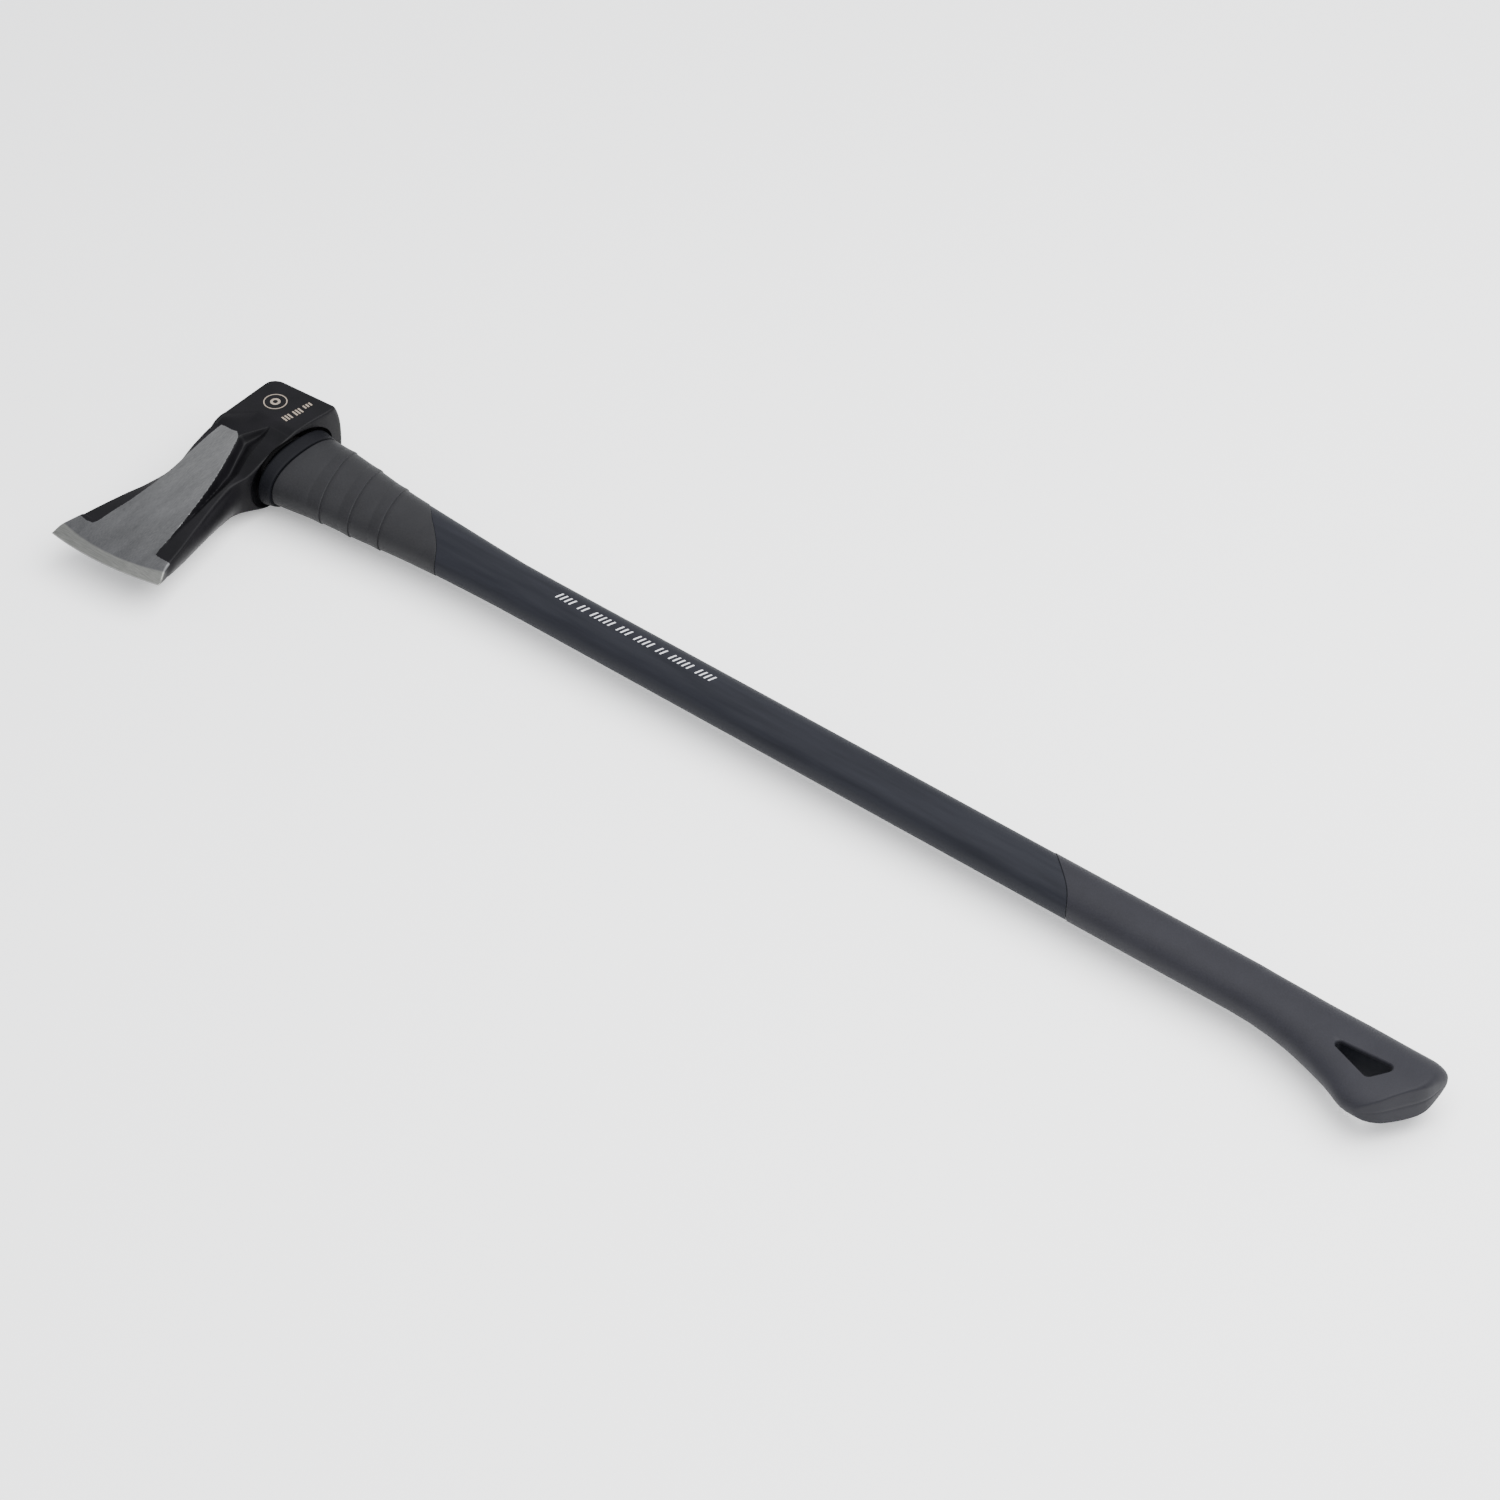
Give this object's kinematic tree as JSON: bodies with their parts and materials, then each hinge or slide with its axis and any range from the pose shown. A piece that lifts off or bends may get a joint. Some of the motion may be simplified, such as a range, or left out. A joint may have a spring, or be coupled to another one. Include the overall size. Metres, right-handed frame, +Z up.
{
  "type": "splitting maul",
  "caption": "Splitting maul with a forged wedge head and flat striking poll on a long fibreglass-cored handle with overmoulded neck guard and grip.",
  "frame": {"origin": "centre of the bounding box's bottom face; the maul lies on one cheek of its head, which is on the ground plane", "axes": "+X runs along the handle from the head to the butt, -Y is the side of the cutting edge and +Y the side of the poll, +Z is up through the head's thickness"},
  "size_m": [0.913, 0.1852, 0.0472],
  "materials": {
    "head": "dark enamel over forged steel, bit and plateau ground bare",
    "epoxy": "cast epoxy, satin",
    "seal": "matte",
    "core": "pultruded glass fibre and resin, satin",
    "jacket": "smooth moulded, semi-gloss",
    "collar": "matte",
    "guard": "soft-touch, satin",
    "grip": "soft-touch, fine grained"
  },
  "bodies": {
    "root": {"head_forging": "head", "eye_epoxy": "epoxy", "eye_seal": "seal", "fibreglass_core": "core", "shaft_jacket": "jacket", "shoulder_collar": "collar", "neck_guard": "guard", "grip_sleeve": "grip"}
  },
  "joints": []
}
